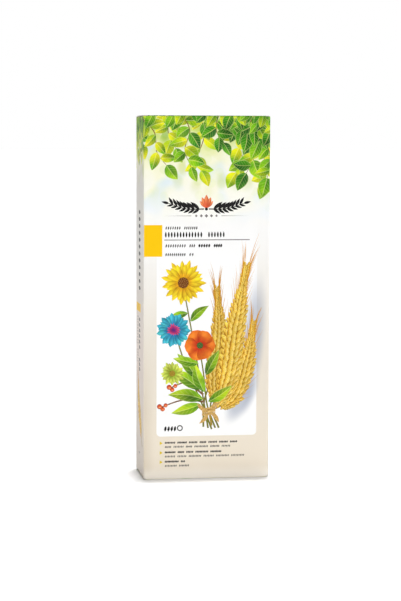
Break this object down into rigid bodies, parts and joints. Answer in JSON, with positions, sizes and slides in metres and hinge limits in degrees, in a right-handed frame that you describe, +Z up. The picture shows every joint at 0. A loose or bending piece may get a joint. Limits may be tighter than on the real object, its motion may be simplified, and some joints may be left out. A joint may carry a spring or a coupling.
{
  "type": "folding carton",
  "caption": "Tall printed paperboard carton with a tuck lid and a glued bottom, holding upright dried foxtail millet sprays.",
  "frame": {"origin": "middle of the foot, on the surface that the carton stands on", "axes": "+Z up along the carton's height, the front panel faces -Y, +X to the right seen from the front"},
  "size_m": [0.105, 0.052, 0.3],
  "materials": {
    "printed_board": "satin",
    "board_back": "matte",
    "millet": "matte"
  },
  "bodies": {
    "carton": {"sleeve": "printed_board", "bottom_outer_flap": "printed_board", "bottom_inner_flap": "board_back", "bottom_dust_flap_left": "board_back", "bottom_dust_flap_right": "board_back", "millet_spray_1": "millet", "millet_spray_2": "millet", "millet_spray_3": "millet", "millet_spray_4": "millet", "millet_spray_5": "millet", "millet_spray_6": "millet", "millet_spray_7": "millet", "millet_spray_8": "millet"},
    "lid": {"lid": "printed_board"},
    "tongue": {"tuck_tongue": "printed_board"},
    "dust_left": {"dust_flap_left": "printed_board"},
    "dust_right": {"dust_flap_right": "printed_board"}
  },
  "joints": [
    {"name": "lid_hinge", "type": "hinge", "parent": "carton", "child": "lid", "pos_m": [0, 0.02575, 0.29975], "axis": [-1, 0, 0], "range_deg": [0, 150]},
    {"name": "tongue_crease", "type": "hinge", "parent": "lid", "child": "tongue", "pos_m": [0, -0.02465, 0.29975], "axis": [-1, 0, 0], "range_deg": [0, 37.5]},
    {"name": "dust_left_hinge", "type": "hinge", "parent": "carton", "child": "dust_left", "pos_m": [-0.05225, 0, 0.29895], "axis": [0, -1, 0], "range_deg": [0, 75]},
    {"name": "dust_right_hinge", "type": "hinge", "parent": "carton", "child": "dust_right", "pos_m": [0.05225, 0, 0.29895], "axis": [0, 1, 0], "range_deg": [0, 75]}
  ],
  "couplings": [
    {"joint": "tongue_crease", "follows": "lid_hinge", "ratio": 0.25},
    {"joint": "dust_left_hinge", "follows": "lid_hinge", "ratio": 0.5},
    {"joint": "dust_right_hinge", "follows": "lid_hinge", "ratio": 0.5}
  ]
}
